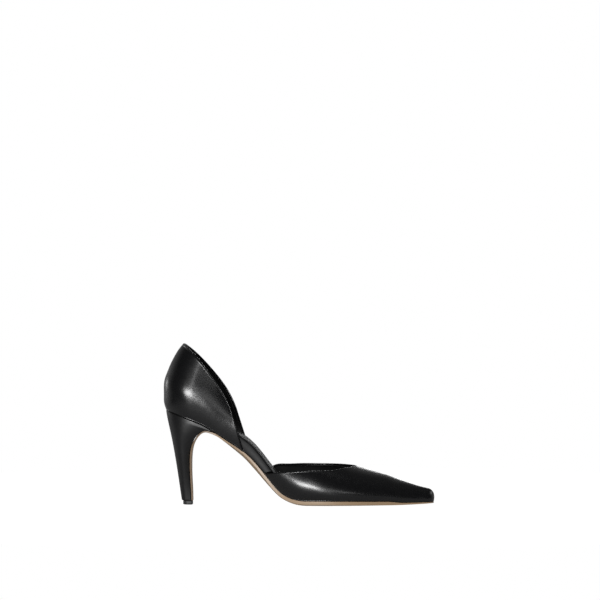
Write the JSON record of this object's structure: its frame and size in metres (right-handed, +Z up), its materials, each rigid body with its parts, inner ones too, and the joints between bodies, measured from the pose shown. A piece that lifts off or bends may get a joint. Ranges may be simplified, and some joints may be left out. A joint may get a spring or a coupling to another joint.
{
  "type": "dorsay pump",
  "caption": "Pointed court shoe with open sides, a slim tapered heel and a leather sole that runs down the heel's front, for a right foot.",
  "frame": {"origin": "on the floor, below the middle of the shoe's length and width", "axes": "+X to the toe, +Y to the big toe's side, +Z up"},
  "size_m": [0.2358, 0.0802, 0.1409],
  "materials": {
    "black_leather": "smooth calf leather, satin gloss",
    "black_lining": "thin matt lining leather",
    "tan_sole_leather": "buffed sole leather, slight sheen",
    "black_rubber": "matt moulded rubber"
  },
  "bodies": {
    "root": {"vamp": "black_leather", "quarter": "black_leather", "shank_cover": "black_leather", "insole": "black_lining", "outsole": "tan_sole_leather", "heel": "black_leather", "top_piece": "black_rubber"}
  },
  "joints": []
}
